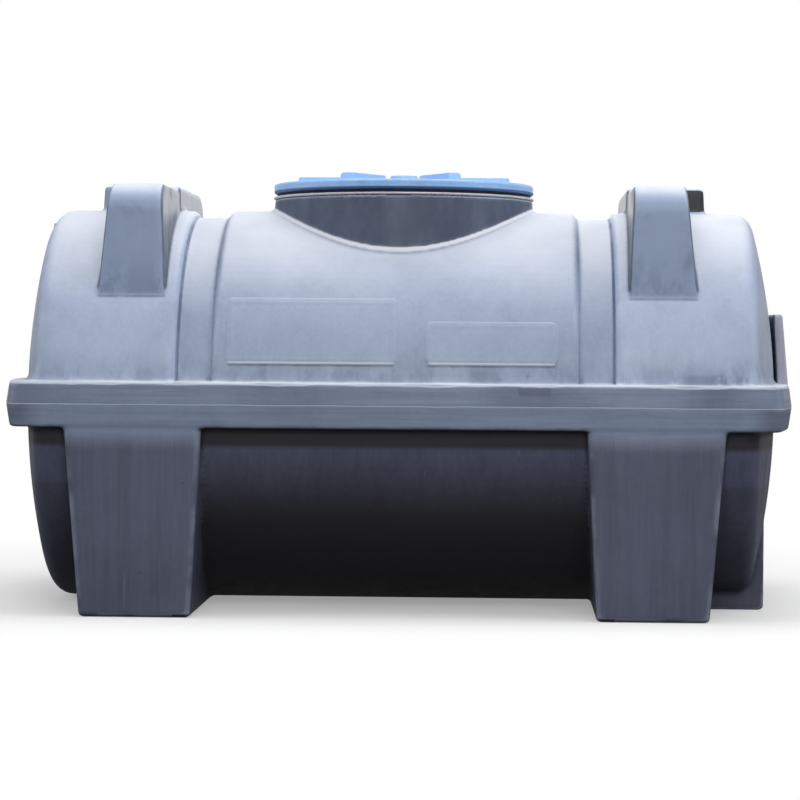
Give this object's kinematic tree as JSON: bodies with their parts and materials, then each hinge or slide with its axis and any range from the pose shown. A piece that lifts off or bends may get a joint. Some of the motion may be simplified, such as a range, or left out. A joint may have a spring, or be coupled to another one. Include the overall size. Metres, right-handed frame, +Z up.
{
  "type": "horizontal cylindrical water tank",
  "caption": "Horizontal cylindrical cistern in moulded plastic with dished ends, a rim at mid height, feet, strap grooves, top lugs and a manway whose screw lid turns and lifts.",
  "frame": {"origin": "on the ground under the middle of the tank", "axes": "+X along the barrel towards the end with the upright tab, +Y to the back, +Z up"},
  "size_m": [1.7138, 0.99, 0.9475],
  "materials": {
    "tank_body": "satin moulded polyethylene, grey blue, finely scratched",
    "rim": "satin moulded polyethylene, darker and streaked, pale at its edges",
    "feet": "satin moulded polyethylene with fine upright streaks",
    "lugs": "satin moulded polyethylene with fine scratches on the flanks",
    "lip": "pale moulded lip",
    "seal": "dark rubber",
    "lid": "satin blue moulded plastic, lightly worn"
  },
  "bodies": {
    "tank": {"upper_centre_band": "tank_body", "lower_centre_band": "tank_body", "strap_groove_left": "tank_body", "upper_band_left": "tank_body", "lower_band_left": "tank_body", "upper_dome_left": "tank_body", "lower_dome_left": "tank_body", "strap_groove_right": "tank_body", "upper_band_right": "tank_body", "lower_band_right": "tank_body", "upper_dome_right": "tank_body", "lower_dome_right": "tank_body", "rim_front_upper": "rim", "rim_front_lower": "rim", "rim_back_upper": "rim", "rim_back_lower": "rim", "rim_left_upper": "rim", "rim_left_lower": "rim", "rim_right_upper": "rim", "rim_right_lower": "rim", "foot_front_left": "feet", "foot_front_right": "feet", "foot_rear_left": "feet", "foot_rear_right": "feet", "lug_front_left": "lugs", "lug_front_right": "lugs", "lug_rear_left": "lugs", "lug_rear_right": "lugs", "manway_neck": "tank_body", "neck_lip": "lip", "wide_panel": "tank_body", "narrow_panel": "tank_body", "end_tab": "tank_body", "shoulder_nub": "tank_body"},
    "seal_ring": {"lid_seal": "seal"},
    "lid": {"lid_disc": "lid", "lid_spigot": "lid", "lid_hub": "lid", "lid_bar_1": "lid", "lid_bar_2": "lid", "lid_bar_3": "lid", "lid_bar_4": "lid", "lid_bar_5": "lid", "lid_bar_6": "lid"}
  },
  "joints": [
    {"name": "lid_rise", "type": "slide", "parent": "tank", "child": "seal_ring", "axis": [0, 0, 1], "range_m": [0, 0.3]},
    {"name": "lid_turn", "type": "hinge", "parent": "seal_ring", "child": "lid", "pos_m": [0, 0, 0.9035], "axis": [0, 0, 1], "continuous": true}
  ]
}
